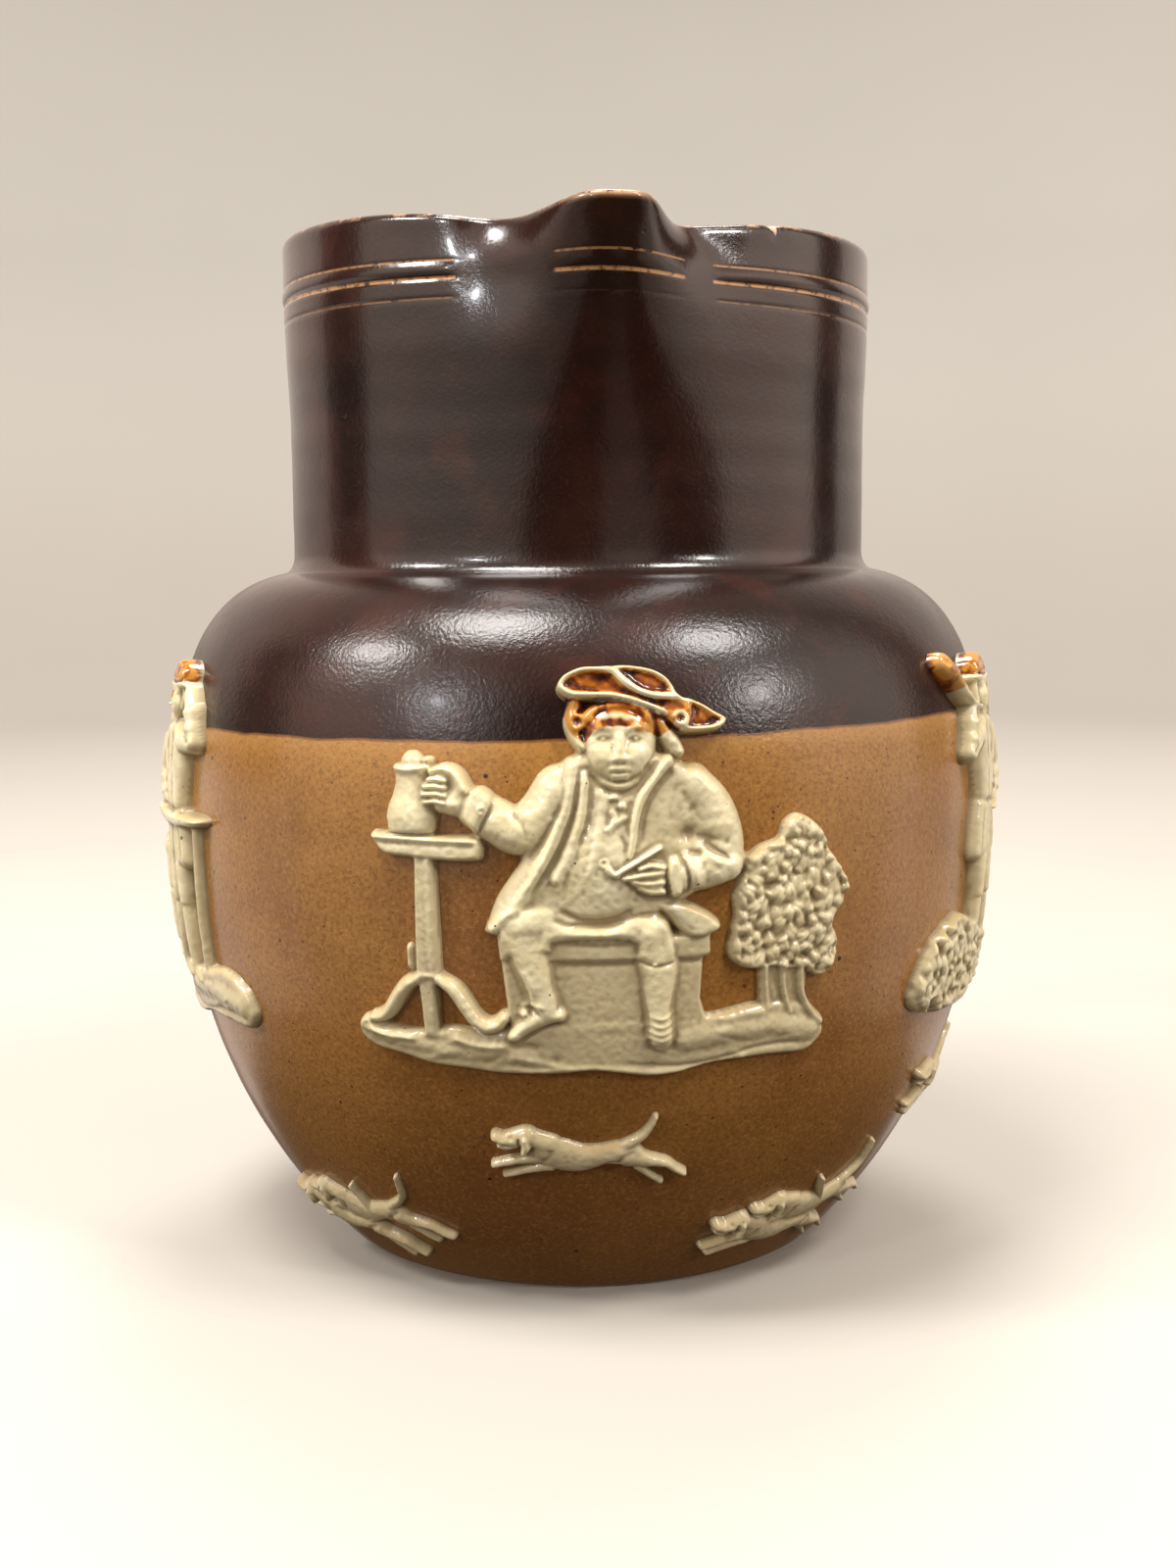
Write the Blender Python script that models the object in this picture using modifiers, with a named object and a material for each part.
"""Stoneware harvest jug: a thrown body with a pulled lip and a strap handle,
and moulded clay figures laid on the belly, all fired into one piece.

Metres, +Z up. The jug stands on Z = 0 about the Z axis, its lip points to -Y and its handle to +Y.
"""
import math

import bpy
import bmesh
import numpy as np

MM = 0.001

# Outside of the body, as radii and heights
FOOT_RADIUS = 38.4 * MM
FOOT_CHAMFER = 1.2 * MM
BELLY_RADIUS = 63.4 * MM
BELLY_HEIGHT = 70.0 * MM
NECK_RADIUS = 44.5 * MM
NECK_ROOT_HEIGHT = 103.2 * MM
NECK_ROOT_FILLET = 1.7 * MM
RIM_HEIGHT = 152.0 * MM
RIM_FLARE = 0.6 * MM
RIM_ROUND = 0.9 * MM
RIM_TILT = math.radians(1.4)
BELLY_FULLNESS = 2.5
BELLY_ROUNDNESS = 0.943
SHOULDER_PULL_UP = 0.66
SHOULDER_PULL_IN = 0.62
SHOULDER_SLOPE = 0.066

# Thickness of the clay
WALL = 4.6 * MM
FLOOR = 6.5 * MM

# Turned lines under the rim
LINE_BELOW_RIM = 9.5 * MM
LINE_DEPTH = 0.6 * MM
BEAD_WIDTH = 2.4 * MM
BEAD_RISE = 0.3 * MM

# Lip, pulled out of the rim by one finger between two others, while the rim sags beside it
LIP_REACH = 11.0 * MM
LIP_CHANNEL = 1.4 * MM
LIP_LEFT_WIDTH = 9.1 * MM
LIP_RIGHT_WIDTH = 7.4 * MM
LIP_SPREAD = 1.6
LIP_STEEPNESS = 2.8
LIP_RIGHT_STEEPER = 2.0
LIP_DEPTH = 46.0 * MM
LIP_DROP = 0.4 * MM
PINCH_IN = 1.5 * MM
PINCH_OFFSET = 14.5 * MM
PINCH_HALF_WIDTH = 5.0 * MM
SAG = 3.0 * MM
SAG_HALF_WIDTH = 23.0 * MM

# Strap handle, as heights of its ends and reach of its loop beyond the belly
HANDLE_TOP_BELOW_RIM = 17.5 * MM
HANDLE_FOOT_HEIGHT = 80.0 * MM
HANDLE_REACH = 23.0 * MM
HANDLE_WIDTH = 17.0 * MM
HANDLE_THICKNESS = 9.6 * MM
HANDLE_SINK = 2.2 * MM

# Moulded figures, laid on as thin clay and pressed into the wall
FIGURE_RISE = 2.8 * MM
FIGURE_SINK = 2.0 * MM
GROUP_HEIGHT = 55.0 * MM
GROUP_GROUND_BELOW_BELLY = 33.0 * MM
GROUP_UNITS = 55.0
GROUP_UNITS_BELOW = 33.0
GROUP_WINDOW = ((-38.0, -35.0), (38.0, 25.0))
GROUP_AZIMUTHS = {"seated_drinker": -3.8, "drinkers_at_table": -83.3, "horn_blower": 72.7}
HOUND_LENGTH = 26.0 * MM
HOUND_UNITS = 26.0
HOUND_WINDOW = ((-19.0, -10.0), (19.5, 12.5))
HOUND_RISE = 1.5 * MM
HIGH_TRAIL = 26.5 * MM
LOW_TRAIL = 12.5 * MM
SINGLE_HOUND_AZIMUTHS = (-4.2, 67.2, 138.0, -104.0)
PAIRED_HOUND_AZIMUTHS = (-50.0, 32.2, 103.0, -146.0)

# Fineness of the turned surface and of the figures
TURN_STEPS = 44
TURN_GATHER = 0.45
GROUP_PITCH = 0.9 * MM
HOUND_PITCH = 0.6 * MM
GROUP_FACES = {"seated_drinker": 1540, "drinkers_at_table": 700, "horn_blower": 700}
SINGLE_HOUND_FACES = 140
PAIRED_HOUND_FACES = 230
WELD_DISTANCE = 0.01 * MM


def new_collection(name):
    """A collection of its own in the scene."""
    collection = bpy.data.collections.new(name)
    bpy.context.scene.collection.children.link(collection)
    return collection


def clear_scene():
    """Remove every object of the opened file."""
    for obj in list(bpy.data.objects):
        bpy.data.objects.remove(obj, do_unlink=True)


def principled(name, colour, roughness):
    """A plain surface of one colour."""
    material = bpy.data.materials.new(name)
    material.use_nodes = True
    shader = material.node_tree.nodes["Principled BSDF"]
    shader.inputs["Base Color"].default_value = (*colour, 1.0)
    shader.inputs["Roughness"].default_value = roughness
    shader.inputs["Metallic"].default_value = 0.0
    return material


def mesh_object(name, mesh, collection):
    """Wrap a mesh in an object of the given collection."""
    obj = bpy.data.objects.new(name, mesh)
    collection.objects.link(obj)
    return obj


def belly_curve(count):
    """Outside of the belly from the foot up to its widest ring: a swelling superellipse."""
    points = []
    for i in range(count + 1):
        rise = (1.0 - i / count) ** 1.25
        swell = (1.0 - (1.0 - rise) ** BELLY_FULLNESS) ** BELLY_ROUNDNESS
        points.append((FOOT_RADIUS + (BELLY_RADIUS - FOOT_RADIUS) * swell, BELLY_HEIGHT * rise))
    return points[::-1]


def shoulder_curve(count):
    """Outside from the widest ring over the round shoulder to the root of the neck."""
    end_radius = NECK_RADIUS + NECK_ROOT_FILLET
    climb = NECK_ROOT_HEIGHT - BELLY_HEIGHT
    start = (BELLY_RADIUS, BELLY_HEIGHT)
    pull_up = (BELLY_RADIUS, BELLY_HEIGHT + SHOULDER_PULL_UP * climb)
    pull_in = (end_radius + SHOULDER_PULL_IN * (BELLY_RADIUS - end_radius),
               NECK_ROOT_HEIGHT - SHOULDER_SLOPE * climb)
    end = (end_radius, NECK_ROOT_HEIGHT)
    points = []
    for i in range(count + 1):
        t = i / count
        weights = ((1 - t) ** 3, 3 * (1 - t) ** 2 * t, 3 * (1 - t) * t * t, t ** 3)
        corners = (start, pull_up, pull_in, end)
        points.append(tuple(sum(w * c[k] for w, c in zip(weights, corners)) for k in (0, 1)))
    return points


def neck_outside():
    """Outside of the neck from its root to the rim, with a turned bead between two lines."""
    line = RIM_HEIGHT - LINE_BELOW_RIM
    half_line = 0.5 * BEAD_WIDTH - 2 * BEAD_RISE
    flared = NECK_RADIUS + RIM_FLARE
    return [
        (NECK_RADIUS + 0.2 * NECK_ROOT_FILLET, NECK_ROOT_HEIGHT + 0.7 * NECK_ROOT_FILLET),
        (NECK_RADIUS, NECK_ROOT_HEIGHT + 1.8 * NECK_ROOT_FILLET),
        (NECK_RADIUS, 0.5 * (NECK_ROOT_HEIGHT + line)),
        (flared, line - half_line),
        (flared - LINE_DEPTH, line),
        (flared + BEAD_RISE, line + 0.5 * BEAD_WIDTH),
        (flared, line + BEAD_WIDTH),
        (flared, RIM_HEIGHT - RIM_ROUND),
        (flared - 0.3 * RIM_ROUND, RIM_HEIGHT - 0.3 * RIM_ROUND),
        (flared - RIM_ROUND, RIM_HEIGHT),
    ]


def neck_inside():
    """Inside of the neck from the rim down to its root."""
    flared = NECK_RADIUS + RIM_FLARE - WALL
    bore = NECK_RADIUS - WALL
    return [
        (flared + RIM_ROUND, RIM_HEIGHT),
        (flared, RIM_HEIGHT - RIM_ROUND),
        (bore, 0.5 * (NECK_ROOT_HEIGHT + RIM_HEIGHT)),
        (bore, NECK_ROOT_HEIGHT - 0.3 * WALL),
    ]


def offset_inward(points, distance):
    """Shift a run of profile points square to the run, towards the inside of the jug."""
    shifted = []
    for i, (r, z) in enumerate(points):
        before = points[max(i - 1, 0)]
        after = points[min(i + 1, len(points) - 1)]
        run = math.hypot(after[0] - before[0], after[1] - before[1])
        across = ((after[1] - before[1]) / run, -(after[0] - before[0]) / run)
        shifted.append((r - distance * across[0], z - distance * across[1]))
    return shifted


def body_profile():
    """Half section of the body: up the inside from the floor, over the rim and down the outside."""
    inside = offset_inward(belly_curve(6)[1:] + shoulder_curve(4)[1:-1], WALL)
    inside = [point for point in inside if point[1] > FLOOR]
    floor_radius = inside[0][0] - 0.45 * (inside[0][1] - FLOOR)
    foot = [(FOOT_RADIUS - FOOT_CHAMFER, 0.0), (0.0, 0.0)]
    outside = belly_curve(9)[1:] + shoulder_curve(7)[1:] + neck_outside()
    foot_edge = [(FOOT_RADIUS, FOOT_CHAMFER)]
    outside = foot_edge + [point for point in outside if point[1] > 2 * FOOT_CHAMFER]
    return [(0.0, FLOOR), (floor_radius, FLOOR)] + inside + neck_inside()[::-1] + outside[::-1] + foot


def turned_mesh(profile, steps):
    """Turn a half section about Z."""
    mesh = bpy.data.meshes.new("profile")
    vertices = [(r, 0.0, z) for r, z in profile]
    edges = [(i, i + 1) for i in range(len(profile) - 1)]
    mesh.from_pydata(vertices, edges, [])
    obj = mesh_object("profile", mesh, bpy.context.scene.collection)
    turn = obj.modifiers.new("turn", "SCREW")
    turn.steps = steps
    turn.render_steps = steps
    turn.use_merge_vertices = True
    turn.merge_threshold = WELD_DISTANCE
    bpy.context.view_layer.update()
    evaluated = obj.evaluated_get(bpy.context.evaluated_depsgraph_get())
    turned = bpy.data.meshes.new_from_object(evaluated)
    bpy.data.objects.remove(obj)
    return turned


def gathered(angle):
    """Crowd the turned steps towards the lip, where the clay bends most."""
    return angle - TURN_GATHER * math.sin(angle)


def bump(offset, half_width, steepness=LIP_STEEPNESS):
    """A smooth swell that is one at its middle and fades to nothing on both sides."""
    return math.exp(-abs(offset / half_width) ** steepness)


def pulled(angle, radius, height):
    """Where a point of the turned neck lies once the lip is pulled, its right side steeper than its left."""
    x = radius * math.sin(angle)
    y = -radius * math.cos(angle)
    z = height
    share = max(0.0, (height - (RIM_HEIGHT - LIP_DEPTH)) / LIP_DEPTH)
    if y < 0.0:
        rise = share ** 4
        spread = LIP_SPREAD + (1.0 - LIP_SPREAD) * rise
        if x < 0.0:
            swell = bump(x, LIP_LEFT_WIDTH * spread)
        else:
            swell = bump(x, LIP_RIGHT_WIDTH * spread, LIP_STEEPNESS + LIP_RIGHT_STEEPER * rise)
        pinch = bump(abs(x) - PINCH_OFFSET, PINCH_HALF_WIDTH)
        sag = bump(x, SAG_HALF_WIDTH, 2.0) * (1.0 - swell)
        y -= swell * ((LIP_REACH - LIP_CHANNEL) * rise + LIP_CHANNEL * share)
        y += pinch * PINCH_IN * share ** 3
        z -= swell * LIP_DROP * rise + sag * SAG * share ** 8
    z -= math.tan(RIM_TILT) * x * share
    return x, y, z


def make_body(collection):
    """The thrown pot with its lip."""
    mesh = turned_mesh(body_profile(), TURN_STEPS)
    for vertex in mesh.vertices:
        radius = math.hypot(vertex.co.x, vertex.co.y)
        angle = math.atan2(vertex.co.x, -vertex.co.y)
        vertex.co = pulled(gathered(angle), radius, vertex.co.z)
    mesh.name = "jug"
    return mesh_object("jug", mesh, collection)


def curve_to_mesh(curve_object, collection):
    """Make a closed mesh of a swept curve, its end caps welded on."""
    bpy.context.view_layer.update()
    evaluated = curve_object.evaluated_get(bpy.context.evaluated_depsgraph_get())
    mesh = bpy.data.meshes.new_from_object(evaluated)
    welded = bmesh.new()
    welded.from_mesh(mesh)
    bmesh.ops.remove_doubles(welded, verts=welded.verts, dist=WELD_DISTANCE)
    bmesh.ops.recalc_face_normals(welded, faces=welded.faces)
    welded.to_mesh(mesh)
    welded.free()
    solid = mesh_object(curve_object.name + "_solid", mesh, collection)
    solid.matrix_world = curve_object.matrix_world
    bpy.data.objects.remove(curve_object)
    return solid


def handle_section(collection):
    """Oval section of the strap."""
    section = bpy.data.curves.new("strap_section", "CURVE")
    section.dimensions = "2D"
    section.resolution_u = 3
    ring = section.splines.new("BEZIER")
    ring.use_cyclic_u = True
    ring.bezier_points.add(3)
    half_width, half_thickness = 0.5 * HANDLE_WIDTH, 0.5 * HANDLE_THICKNESS
    kappa = 0.62
    for point, quarter in zip(ring.bezier_points, range(4)):
        c, s = round(math.cos(quarter * math.pi / 2)), round(math.sin(quarter * math.pi / 2))
        along = (-s * half_thickness * kappa, c * half_width * kappa, 0.0)
        place = (c * half_thickness, s * half_width, 0.0)
        point.co = place
        point.handle_right = [p + a for p, a in zip(place, along)]
        point.handle_left = [p - a for p, a in zip(place, along)]
    obj = bpy.data.objects.new("strap_section", section)
    collection.objects.link(obj)
    return obj


def handle_path():
    """Knots of the loop as (reach from the axis, height), each with its pull direction and length."""
    top = RIM_HEIGHT - HANDLE_TOP_BELOW_RIM
    reach = BELLY_RADIUS + HANDLE_REACH - 0.5 * HANDLE_THICKNESS
    foot_radius = radius_at(HANDLE_FOOT_HEIGHT) - HANDLE_SINK
    bow = 0.5 * (top - HANDLE_FOOT_HEIGHT)
    return [
        ((NECK_RADIUS - HANDLE_SINK, top), (1.0, 0.3), 0.75 * bow),
        ((reach, 0.42 * HANDLE_FOOT_HEIGHT + 0.58 * top), (0.0, -1.0), 0.7 * bow),
        ((foot_radius, HANDLE_FOOT_HEIGHT), (-1.0, -0.75), 0.6 * bow),
    ]


def radius_at(height):
    """Outer radius of the belly and shoulder at a height."""
    points = belly_curve(60) + shoulder_curve(60)[1:]
    return float(np.interp(height, [z for _, z in points], [r for r, _ in points]))


def make_handle(collection):
    """Plain strap, bent in the plane of the lip and welded to the neck and the shoulder."""
    section = handle_section(collection)
    path = bpy.data.curves.new("handle", "CURVE")
    path.dimensions = "2D"
    path.resolution_u = 7
    path.bevel_mode = "OBJECT"
    path.bevel_object = section
    path.use_fill_caps = True
    spline = path.splines.new("BEZIER")
    knots = handle_path()
    spline.bezier_points.add(len(knots) - 1)
    widths = (1.12, 0.92, 1.0)
    for point, (place, direction, pull), width in zip(spline.bezier_points, knots, widths):
        length = math.hypot(*direction)
        along = [pull * d / length for d in direction]
        point.co = (place[0], place[1], 0.0)
        point.handle_left = (place[0] - along[0], place[1] - along[1], 0.0)
        point.handle_right = (place[0] + along[0], place[1] + along[1], 0.0)
        point.radius = width
    strap = bpy.data.objects.new("handle", path)
    collection.objects.link(strap)
    strap.rotation_euler = (math.pi / 2, 0.0, math.pi / 2)
    solid = curve_to_mesh(strap, collection)
    bpy.data.objects.remove(section)
    return solid


def meridian():
    """Outside of the body from foot to neck as (distance along it, radius, height) columns."""
    points = np.array(belly_curve(90) + shoulder_curve(90)[1:])
    steps = np.hypot(*np.diff(points, axis=0).T)
    along = np.concatenate([[0.0], np.cumsum(steps)])
    return along, points[:, 0], points[:, 1]


def wrap(across, up, rise, azimuth, height):
    """Lay flat sheet points on the body round the given azimuth (radians) and height.

    across and up are distances from the middle of the sheet, rise is the distance out of the clay.
    """
    along, radii, heights = meridian()
    middle = np.interp(height, heights, along)
    angle = azimuth + across / radius_at(height)
    place = middle + up
    tangent_r = np.interp(place + MM, along, radii) - np.interp(place - MM, along, radii)
    tangent_z = np.interp(place + MM, along, heights) - np.interp(place - MM, along, heights)
    length = np.hypot(tangent_r, tangent_z)
    radius = np.interp(place, along, radii) + rise * tangent_z / length
    z = np.interp(place, along, heights) - rise * tangent_r / length
    return np.stack([radius * np.sin(angle), -radius * np.cos(angle), z], axis=-1)


def rounded(corners):
    """A closed outline with its corners softened: each side keeps its middle half."""
    corners = np.array(corners, dtype=float)
    ahead = np.roll(corners, -1, axis=0)
    return np.stack([0.75 * corners + 0.25 * ahead, 0.25 * corners + 0.75 * ahead], axis=1).reshape(-1, 2)


class Clay:
    """A clay picture: heights over points (s, t) of its sheet.

    s and t run across and up from the middle of the widest ring of the belly, in units of which a
    group is GROUP_UNITS high. Heights above the clay are shares of the full rise of the figures.
    """

    DEEP = -9.0
    EDGE_SLOPE = 1.6

    def __init__(self, s, t):
        self.s = s
        self.t = t
        self.height = np.full(s.shape, self.DEEP)

    def distance(self, start, end):
        """Distance of every point from a straight stroke, and the share along it where it is nearest."""
        run = np.subtract(end, start)
        share = ((self.s - start[0]) * run[0] + (self.t - start[1]) * run[1]) / max(run @ run, 1e-9)
        share = np.clip(share, 0.0, 1.0)
        away = np.hypot(self.s - start[0] - share * run[0], self.t - start[1] - share * run[1])
        return away, share

    def lay(self, depth, rise, shoulder):
        """Lay on a shape with a rounded shoulder. depth is the distance inside its outline."""
        inside = np.clip(depth / shoulder, 0.0, 1.0)
        crown = rise * np.sqrt(1.0 - (1.0 - inside) ** 2)
        self.height = np.maximum(self.height, np.where(depth > 0.0, crown, self.EDGE_SLOPE * depth))

    def pad(self, corners, rise, shoulder=2.2):
        """A flat pad of clay with a soft outline."""
        outline = rounded(corners)
        depth = np.full(self.s.shape, np.inf)
        inside = np.zeros(self.s.shape, dtype=bool)
        for start, end in zip(outline, np.roll(outline, -1, axis=0)):
            depth = np.minimum(depth, self.distance(start, end)[0])
            crosses = (start[1] > self.t) != (end[1] > self.t)
            level = (self.t - start[1]) / ((end[1] - start[1]) or 1e-9)
            inside ^= crosses & (self.s < start[0] + level * (end[0] - start[0]))
        self.lay(np.where(inside, depth, -depth), rise, shoulder)

    def limb(self, knots, rise):
        """A rounded roll of clay through knots (s, t, radius)."""
        for start, end in zip(knots, knots[1:]):
            away, share = self.distance(start[:2], end[:2])
            radius = start[2] + share * (end[2] - start[2])
            self.lay(radius - away, rise, radius)

    def ball(self, s, t, across, up, rise):
        """A domed oval."""
        reach = np.hypot((self.s - s) / across, (self.t - t) / up)
        self.lay((1.0 - reach) * min(across, up), rise, min(across, up))

    def crease(self, points, width, depth):
        """A soft groove along a line, pressed into what is already laid."""
        away = np.full(self.s.shape, np.inf)
        for start, end in zip(points, points[1:]):
            away = np.minimum(away, self.distance(start, end)[0])
        self.height -= np.where(self.height > depth, depth * np.exp(-(away / width) ** 2), 0.0)

    def leaves(self, corners, rise, size):
        """A leafy pad, its face broken into rows of lumps."""
        below = self.height.copy()
        self.height = np.full(self.s.shape, self.DEEP)
        self.pad(corners, rise, 1.6)
        row = self.t / size
        lump = np.cos(math.pi * row) * np.cos(math.pi * self.s / size + 0.9 * np.sin(2.1 * row))
        self.height = np.maximum(below, np.where(self.height > 0.0, self.height + 0.16 * lump, self.height))


def draw_ground(clay):
    """Strip of rough ground under a group, thicker at its lower edge."""
    clay.pad([(-34.4, -26), (-31, -30.2), (-18, -31.8), (-4, -32.2), (10, -33), (24, -31.4), (34.6, -30),
              (32.4, -24), (20, -22.6), (12, -25), (-8, -26.6), (-20, -26.4), (-31, -23.6)], 0.5)
    clay.limb([(-32.5, -26, 1.0), (-24, -28.4, 1.3), (-11, -29, 1.2), (10, -29.5, 1.5),
               (22, -27, 1.6), (32, -27, 1.5)], 0.62)


def draw_pedestal_table(clay, s):
    """Round table on one post with curled feet, seen from just above."""
    clay.pad([(s - 2, -3), (s + 2, -3), (s + 1.9, -17), (s + 1.5, -28.5), (s - 1.5, -28.5), (s - 2, -17)],
             0.6, 1.4)
    clay.limb([(s - 1, -18.5, 0.9), (s - 4, -20.5, 1.0), (s - 6, -24, 1.1), (s - 8.6, -25.4, 1.1)], 0.62)
    clay.limb([(s + 1, -18.5, 0.9), (s + 3.4, -20.8, 1.1), (s + 5.2, -24, 1.2), (s + 7.8, -25.6, 1.2),
               (s + 9.6, -24.6, 1.0)], 0.62)
    clay.limb([(s - 6.4, -1.6, 1.6), (s, -2.2, 1.7), (s + 6.6, -1.3, 1.7)], 0.75)


def draw_table_jug(clay, s):
    """Small jug with a round belly standing on the table."""
    clay.limb([(s, 1.6, 3.0), (s - 0.1, 4.0, 3.7), (s, 7.2, 2.7), (s, 9.0, 2.3), (s, 10.6, 2.4)], 0.85)
    clay.limb([(s - 2.3, 8.9, 0.6), (s + 2.4, 9.1, 0.6)], 0.95)


def draw_low_tree(clay, s):
    """Small leafy tree on three stems."""
    for lean, foot in ((-3.6, -2.8), (-1.0, -0.4), (2.0, 2.0)):
        clay.limb([(s + lean, -17, 0.9), (s + foot, -25.5, 1.1)], 0.55)
    clay.leaves([(s - 6.5, -3.5), (s - 2.5, -1), (s, 2.6), (s + 4, 2), (s + 8.3, -6), (s + 8.5, -13),
                 (s + 6, -20.5), (s + 1, -19), (s - 4, -20.5), (s - 9.4, -18.5), (s - 9, -12)], 0.68, 2.6)


def draw_seat(clay):
    """Square block with a moulded top that the drinker sits on."""
    clay.pad([(-13.5, -11), (14.6, -11), (14.6, -29), (-13.5, -29)], 0.42, 1.2)
    clay.limb([(-12.4, -14.6, 1.6), (14.4, -14.9, 1.6)], 0.56)


def draw_lap_and_legs(clay):
    """Thighs coming forward to two knees, breeches, stockings and buckled shoes."""
    clay.pad([(-13, -8.5), (-8, -6.5), (0, -9), (8, -7.5), (13, -10), (12, -16), (4, -16.5), (-4, -14.5),
              (-10, -15.5)], 0.85, 2.6)
    clay.limb([(-9.3, -11.3, 3.1), (-8.3, -15.5, 2.8), (-7.6, -20.3, 1.9)], 1.0)
    clay.limb([(-7.0, -20.8, 1.7), (-8.0, -24.0, 1.6), (-10.2, -26.6, 1.3)], 0.92)
    clay.limb([(8.0, -11.5, 3.4), (8.3, -16.0, 3.0), (8.3, -22.5, 2.2)], 1.0)
    clay.limb([(8.4, -23.0, 2.1), (8.5, -27.6, 2.0)], 0.95)
    clay.crease([(-5.6, -14.5), (-4.6, -21.0)], 0.8, 0.25)
    clay.crease([(4.8, -14.0), (5.6, -22.0)], 0.8, 0.25)


def draw_coat(clay):
    """Open coat with hanging fronts over a round waistcoat."""
    clay.pad([(-3, 10.5), (-7, 8.5), (-9, 2), (-12, -6), (-15.5, -12.5), (-11, -12.5), (0, -9), (10, -9),
              (15, -10.5), (20, -4), (18, 3), (14, 9), (8, 11)], 0.66, 2.4)
    clay.ball(1.6, -2.5, 8.0, 10.0, 0.86)
    clay.limb([(-3.0, 8.5, 1.9), (-6.5, 0.0, 2.4), (-10.8, -8.0, 2.2), (-13.2, -11.5, 1.1)], 0.84)
    clay.limb([(8.8, 8.8, 1.8), (7.4, 3.5, 1.9), (6.8, -1.5, 1.6)], 0.84)
    clay.pad([(7, -8), (12, -9), (17.5, -12), (15.5, -14), (10.5, -13.6)], 0.78, 1.6)
    clay.crease([(0.6, 7.0), (0.0, 1.0), (-1.8, -6.0)], 0.6, 0.22)
    clay.crease([(5.4, 7.5), (4.6, 1.0), (4.2, -2.0)], 0.6, 0.22)
    clay.crease([(-4.6, 8.0), (-8.0, -1.5), (-12.0, -10.0)], 0.55, 0.16)


def draw_arms(clay):
    """One arm stretched to the jug on the table, the other bent across the waist with a pipe."""
    clay.limb([(-5.5, 6.5, 2.6), (-8.3, 1.8, 3.0), (-11.5, 1.9, 3.0), (-14.6, 3.5, 2.9)], 0.95)
    clay.limb([(-14.6, 3.6, 3.2), (-15.2, 4.0, 3.1)], 1.02)
    clay.limb([(-16.0, 4.8, 2.1), (-18.2, 6.2, 2.6), (-19.2, 6.6, 2.2)], 0.95)
    clay.limb([(13.6, 7.5, 2.9), (16.8, 1.5, 3.2), (17.2, -2.8, 3.0)], 0.85)
    clay.limb([(16.8, -3.6, 2.9), (13.0, -5.0, 2.6), (10.0, -5.6, 2.6)], 1.02)
    clay.limb([(10.6, -5.6, 2.9), (9.8, -5.8, 2.9)], 1.08)
    clay.limb([(7.6, -5.2, 2.1), (4.6, -5.2, 1.7), (2.4, -4.6, 1.2)], 1.02)
    clay.limb([(1.0, -3.9, 1.2), (1.2, -3.4, 1.2)], 1.12)
    clay.limb([(1.6, -4.0, 0.6), (7.6, -1.6, 0.55)], 1.1)
    clay.crease([(12.7, -2.2), (12.6, -8.0)], 0.5, 0.2)
    clay.crease([(-17.0, 1.6), (-17.2, 6.8)], 0.5, 0.25)


def draw_head_and_hat(clay):
    """Head with side curls under a hat whose brim sweeps up in an S."""
    clay.ball(3.2, 11.9, 5.4, 6.0, 1.12)
    clay.ball(-2.0, 14.2, 1.8, 2.2, 0.85)
    clay.ball(9.2, 12.4, 1.7, 2.4, 0.8)
    clay.crease([(-0.8, 8.6), (1.2, 6.4), (3.4, 5.7), (5.8, 6.6), (7.6, 8.8)], 0.6, 0.3)
    clay.pad([(0, 21), (2.5, 23), (8, 22.4), (11.5, 18.5), (8, 16.5), (2, 18)], 0.95, 1.8)
    clay.pad([(-5.6, 18.5), (-3.5, 22.3), (1.5, 22.6), (4.5, 19.8), (9, 18.8), (13.5, 18.6), (18.2, 15),
              (15.5, 13), (9.5, 13), (5, 16.3), (-1, 16.6)], 1.1, 1.5)
    clay.limb([(-4.2, 19.2, 0.6), (-1.8, 21.4, 0.6), (1.6, 21.6, 0.6), (4.4, 18.9, 0.6), (8.8, 17.8, 0.6),
               (12.8, 17.4, 0.5), (16.6, 14.9, 0.5)], 1.25)


def draw_seated_drinker(clay):
    """The large group under the lip: a seated man with jug and pipe, a table and a small tree."""
    draw_ground(clay)
    draw_pedestal_table(clay, -22.0)
    draw_table_jug(clay, -23.3)
    draw_low_tree(clay, 26.8)
    draw_seat(clay)
    draw_coat(clay)
    draw_lap_and_legs(clay)
    draw_arms(clay)
    draw_head_and_hat(clay)


def draw_standing_man(clay, s, facing):
    """Standing countryman in coat, breeches and cap. facing is +1 or -1 along s."""
    for side in (-1, 1):
        clay.limb([(s + 1.8 * side, -5, 2.2), (s + 2.1 * side, -13, 1.8), (s + 2.3 * side, -22, 1.3),
                   (s + 2.3 * side + 1.6 * facing, -25, 1.2)], 0.85)
    clay.pad([(s - 4.5, 12), (s + 4.5, 12), (s + 5, 5), (s + 4.2, 0), (s + 5.6, -8.5), (s - 5.6, -8.5),
              (s - 4.2, 0), (s - 5, 5)], 0.85, 2.6)
    clay.crease([(s, 11), (s + 0.4 * facing, 2), (s, -8)], 0.55, 0.22)
    clay.crease([(s - 4.4, -0.4), (s + 4.4, -0.4)], 0.5, 0.14)
    clay.ball(s + 0.6 * facing, 14.6, 2.9, 3.7, 1.05)
    clay.pad([(s - 3.4 - 0.4 * facing, 16), (s - 2.6, 20.2), (s + 2.6, 20.2),
              (s + 3.4 + 0.8 * facing, 16)], 1.12, 1.6)


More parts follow.
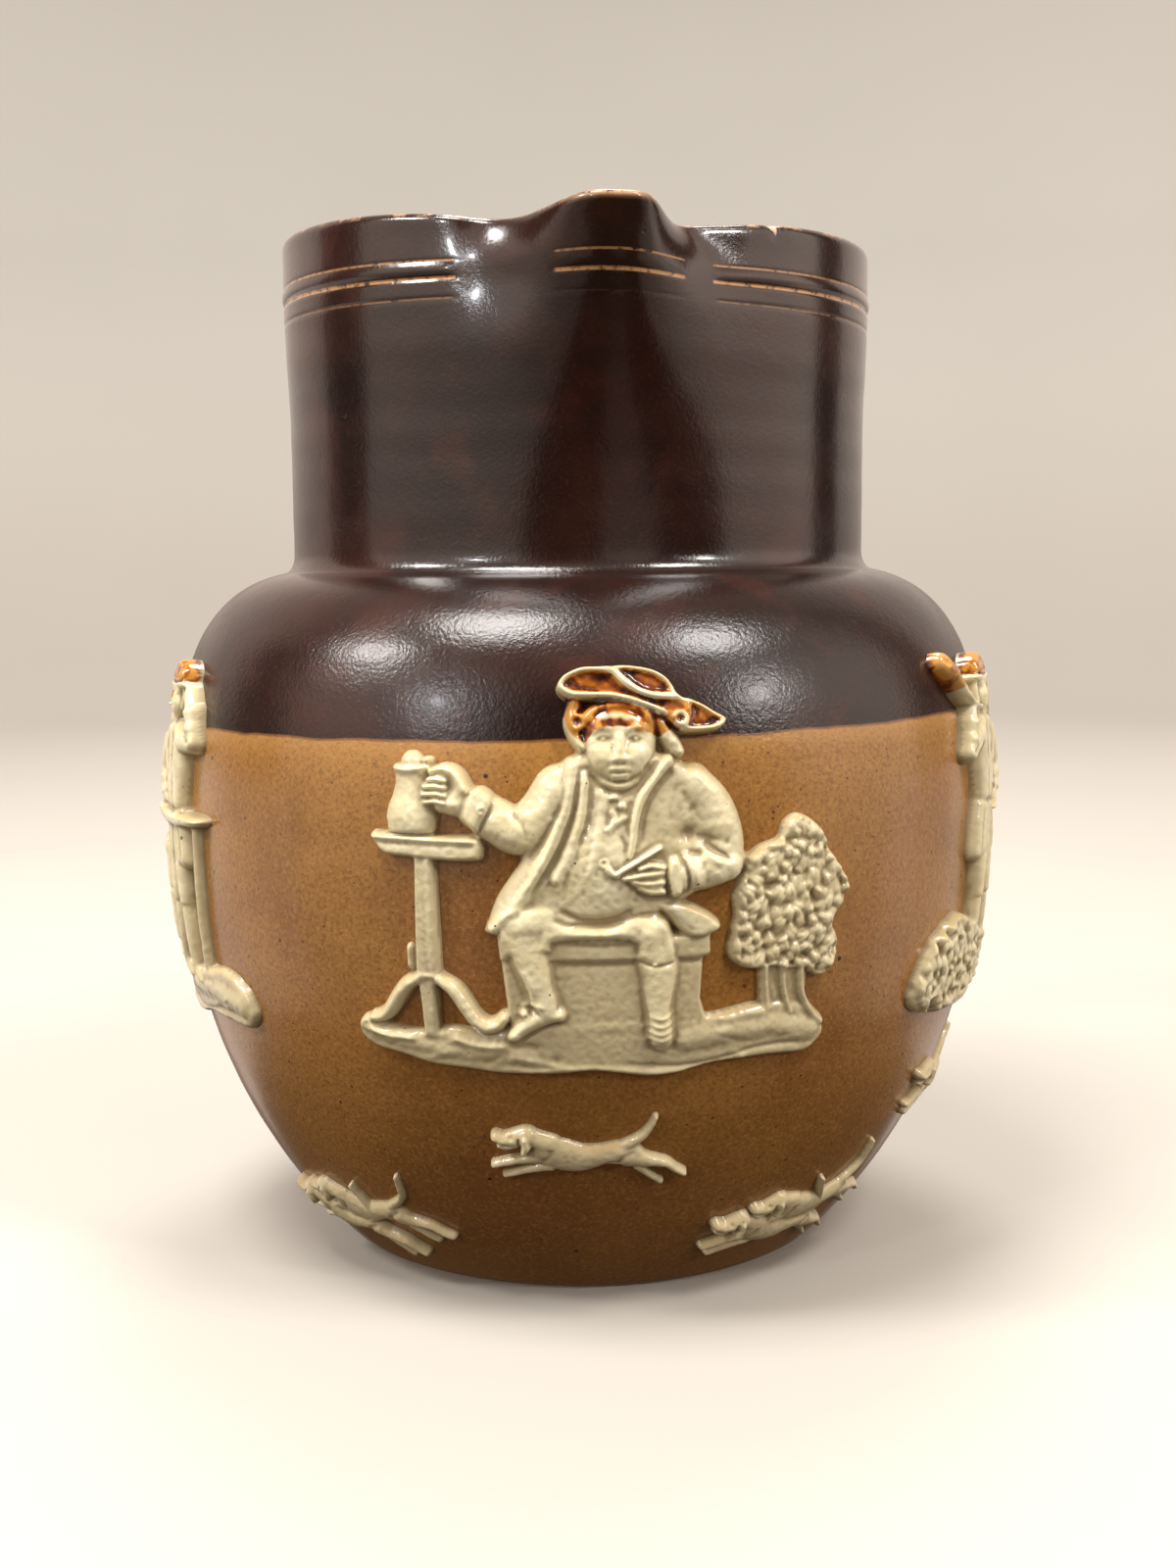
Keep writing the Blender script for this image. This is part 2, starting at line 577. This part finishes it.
def draw_drinkers_at_table(clay):
    """Side group: a standing man with his hand to his cap by a trestle table, and a seated companion."""
    draw_ground(clay)
    for s in (4.0, 19.5):
        clay.limb([(s, -2.5, 1.0), (s - 0.4, -26, 1.1)], 0.55)
    draw_standing_man(clay, 12.5, 1)
    clay.limb([(16, 9.5, 1.9), (21, 11, 1.7), (18.5, 15.5, 1.4), (15.5, 16.8, 1.2)], 0.95)
    clay.limb([(8.6, 9.5, 2.0), (7.2, 4.2, 1.8), (10.4, 1.6, 1.5)], 0.95)
    clay.limb([(2.2, -1.8, 1.6), (12, -2.4, 1.7), (22.0, -1.8, 1.6)], 0.9)
    draw_table_jug(clay, 3.0)
    clay.pad([(-22, -9), (-10, -9), (-9, -27), (-23, -27)], 0.5, 1.4)
    clay.limb([(-21.4, -14, 1.0), (-10.6, -14, 1.0)], 0.62)
    clay.pad([(-20, 6), (-12.5, 7), (-9.5, 0), (-8.5, -10), (-22, -11), (-21.5, -2)], 0.85, 2.8)
    clay.limb([(-14.5, -8, 2.7), (-6.2, -9, 2.5), (-5.2, -16.5, 1.8), (-5.0, -23.5, 1.4),
               (-2.6, -25.4, 1.3)], 0.95)
    clay.limb([(-17.5, 3.8, 2.2), (-15.6, -2.4, 2.0), (-9.0, -1.2, 1.7), (-5.8, 1.4, 1.4)], 1.0)
    clay.ball(-14.6, 10.4, 2.9, 3.6, 1.05)
    clay.pad([(-18.4, 11.8), (-17.4, 16.0), (-12.2, 16.0), (-10.2, 11.8)], 1.1, 1.6)
    draw_bush(clay, -27.0)


def draw_bush(clay, s):
    """Low leafy bush on the ground."""
    clay.leaves([(s - 5, -24), (s - 5, -12), (s - 1, -7), (s + 4, -11), (s + 5, -24), (s + 3, -28),
                 (s - 3, -28)], 0.6, 2.4)


def draw_windmill(clay, s):
    """Tower mill with a domed cap and four sails."""
    clay.pad([(s - 3.6, 4), (s + 3.6, 4), (s + 6.6, -28), (s - 6.6, -28)], 0.62, 2.4)
    clay.ball(s, 5.0, 4.2, 3.6, 0.8)
    for quarter in range(4):
        turn = math.radians(37 + 90 * quarter)
        c, n = math.cos(turn), math.sin(turn)
        tip = (s + 14.5 * c, 5 + 14.5 * n)
        clay.limb([(s, 5, 1.0), (*tip, 0.9)], 0.95)
        for reach in (5.2, 9.1, 13.0):
            blade = (s + reach * c - 1.2 * n, 5 + reach * n + 1.2 * c)
            clay.limb([(*blade, 1.6), (*tip, 1.0)], 0.6)


def draw_horn_blower(clay):
    """Side group: a man lifting a horn beside a windmill, with leafy ground at his feet."""
    draw_ground(clay)
    draw_windmill(clay, 14.0)
    draw_standing_man(clay, -11.5, -1)
    clay.limb([(-15, 9.5, 1.9), (-20.2, 7.0, 1.7), (-18.8, 12.4, 1.4)], 0.95)
    clay.limb([(-14.6, 13.0, 0.7), (-19.4, 14.6, 0.9), (-23.4, 17.8, 1.5), (-25.0, 19.6, 2.0)], 1.0)
    clay.limb([(-8, 9.5, 2.0), (-4.6, 3.6, 1.8), (-8.8, 0.4, 1.5)], 0.95)
    clay.leaves([(-35, -26), (-30, -19), (-22, -14), (-14, -13), (-4, -20), (-2, -27), (-14, -31),
                 (-28, -31)], 0.72, 3.0)


def draw_hound(clay, middle, turn, rise, tail):
    """Hound at full stretch, running towards -s. tail holds the last knots of its tail."""
    c, n = math.cos(math.radians(turn)), math.sin(math.radians(turn))

    def limb(*knots, share=1.0):
        placed = [(middle[0] + c * s - n * t, middle[1] + n * s + c * t, radius) for s, t, radius in knots]
        clay.limb(placed, share * rise)

    limb((6.4, -2.6, 1.0), (8.0, -4.2, 0.8), (9.7, -5.6, 0.75), share=0.7)
    limb((-5.4, -2.3, 1.1), (-8.2, -2.9, 0.85), (-11.9, -4.1, 0.75), share=0.75)
    limb((-6.4, -0.8, 1.2), (-9.6, -1.3, 0.9), (-13.3, -2.4, 0.8), share=0.85)
    limb((4.4, 0.9, 1.1), (6.5, 2.4, 0.9), *tail, share=0.8)
    limb((-6.2, 0.4, 2.3), (-4.4, -0.5, 2.6), (-1.6, -1.0, 2.3), (1.2, -0.6, 1.8), (4.6, -0.6, 2.0))
    limb((5.0, -0.7, 2.0), (8.8, -1.9, 1.1), (11.4, -3.3, 0.85), (12.8, -4.3, 0.8), share=0.95)
    limb((-5.6, 1.0, 1.9), (-8.5, 2.6, 1.6), (-11.4, 2.3, 1.1), (-12.5, 2.5, 0.95))
    limb((-8.6, 2.6, 0.9), (-8.8, 1.0, 0.9), share=1.2)


def draw_single_hound(clay):
    """One hound."""
    draw_hound(clay, (0.0, 0.0), 0.0, 1.0, [(7.6, 4.0, 0.8), (8.2, 5.5, 0.7)])


def draw_paired_hounds(clay):
    """Two hounds, the nearer one half a length behind."""
    draw_hound(clay, (5.4, 0.4), 6.0, 0.85, [(7.7, 3.8, 0.8), (8.4, 7.2, 0.7)])
    draw_hound(clay, (-0.6, -3.2), -2.0, 1.0, [(5.6, 4.4, 0.8), (4.0, 7.8, 0.7)])


def relief_grid(low, high, pitch):
    """A flat grid between two corners, its vertices about one pitch apart."""
    grid = bmesh.new()
    across, up = high[0] - low[0], high[1] - low[1]
    bmesh.ops.create_grid(grid, x_segments=round(across / pitch), y_segments=round(up / pitch), size=0.5)
    for vertex in grid.verts:
        vertex.co.x = low[0] + (vertex.co.x + 0.5) * across
        vertex.co.y = low[1] + (vertex.co.y + 0.5) * up
    return grid


def smooth_edge(grid, rounds):
    """Draw the stepped edge of a grid into a smooth line."""
    for _ in range(rounds):
        moved = {}
        for vertex in grid.verts:
            beside = [edge.other_vert(vertex).co for edge in vertex.link_edges if edge.is_boundary]
            if len(beside) == 2:
                moved[vertex] = 0.5 * vertex.co + 0.25 * (beside[0] + beside[1])
        for vertex, place in moved.items():
            vertex.co = place


def drop_loose_corners(grid):
    """Remove vertices where the clay meets itself at a point only."""
    while True:
        pinched = [vertex for vertex in grid.verts if not vertex.is_manifold]
        if not pinched:
            return
        bmesh.ops.delete(grid, geom=pinched, context="VERTS")


def relief_piece(name, picture, window, unit, pitch, rise, spot, faces, collection):
    """Raise a picture out of a grid, close it with a floor sunk in the wall and lay it on the body."""
    grid = relief_grid(*window, pitch / unit)
    flat = np.array([vertex.co for vertex in grid.verts])
    clay = Clay(flat[:, 0], flat[:, 1])
    picture(clay)
    heights = np.where(clay.height > 0.0, clay.height * rise, clay.height * unit)
    for vertex, height in zip(grid.verts, heights):
        vertex.co.z = height
    skirt = 0.45 * FIGURE_SINK
    buried = [vertex for vertex in grid.verts if vertex.co.z < -skirt]
    bmesh.ops.delete(grid, geom=buried, context="VERTS")
    drop_loose_corners(grid)
    smooth_edge(grid, 4)
    top = list(grid.faces)
    raised = bmesh.ops.extrude_face_region(grid, geom=top)
    for element in raised["geom"]:
        if isinstance(element, bmesh.types.BMVert):
            element.co.z = -FIGURE_SINK
    bmesh.ops.recalc_face_normals(grid, faces=grid.faces)
    flat = np.array([vertex.co for vertex in grid.verts])
    laid = wrap(flat[:, 0] * unit, flat[:, 1] * unit, flat[:, 2], *spot)
    for vertex, place in zip(grid.verts, laid):
        vertex.co = place
    mesh = bpy.data.meshes.new(name)
    grid.to_mesh(mesh)
    grid.free()
    piece = mesh_object(name, mesh, collection)
    thin = piece.modifiers.new("thin_out", "DECIMATE")
    thin.ratio = min(1.0, faces / sum(len(polygon.vertices) - 2 for polygon in mesh.polygons))
    return piece


def make_groups(collection):
    """The three large figure groups round the belly."""
    pictures = {
        "seated_drinker": draw_seated_drinker,
        "drinkers_at_table": draw_drinkers_at_table,
        "horn_blower": draw_horn_blower,
    }
    unit = GROUP_HEIGHT / GROUP_UNITS
    middle = BELLY_HEIGHT + (GROUP_UNITS_BELOW * unit - GROUP_GROUND_BELOW_BELLY)
    groups = []
    for name, picture in pictures.items():
        spot = (math.radians(GROUP_AZIMUTHS[name]), middle)
        groups.append(relief_piece(name, picture, GROUP_WINDOW, unit, GROUP_PITCH, FIGURE_RISE, spot,
                                   GROUP_FACES[name], collection))
    return groups


def make_hounds(collection):
    """Hounds running round the lower belly, singly on the upper trail and in pairs on the lower."""
    unit = HOUND_LENGTH / HOUND_UNITS
    trails = ((SINGLE_HOUND_AZIMUTHS, HIGH_TRAIL, draw_single_hound, SINGLE_HOUND_FACES),
              (PAIRED_HOUND_AZIMUTHS, LOW_TRAIL, draw_paired_hounds, PAIRED_HOUND_FACES))
    hounds = []
    for azimuths, height, picture, faces in trails:
        for number, azimuth in enumerate(azimuths, start=1):
            name = f"{picture.__name__[5:]}_{number}"
            spot = (math.radians(azimuth), height)
            hounds.append(relief_piece(name, picture, HOUND_WINDOW, unit, HOUND_PITCH, HOUND_RISE, spot,
                                       faces, collection))
    return hounds


def join(body, piece):
    """Fuse a piece into the body."""
    union = body.modifiers.new(piece.name, "BOOLEAN")
    union.operation = "UNION"
    union.solver = "EXACT"
    union.object = piece
    piece.hide_render = True
    piece.display_type = "WIRE"


def main():
    """Build the jug."""
    clear_scene()
    jug_collection = new_collection("stoneware_harvest_jug")
    laid_on = new_collection("laid_on_clay")
    body = make_body(jug_collection)
    body.data.materials.append(principled("salt_glazed_stoneware", (0.42, 0.20, 0.07), 0.3))
    join(body, make_handle(laid_on))
    for piece in make_groups(laid_on) + make_hounds(laid_on):
        join(body, piece)
    body.data.shade_smooth()
    body.data.set_sharp_from_angle(angle=math.radians(40))


main()
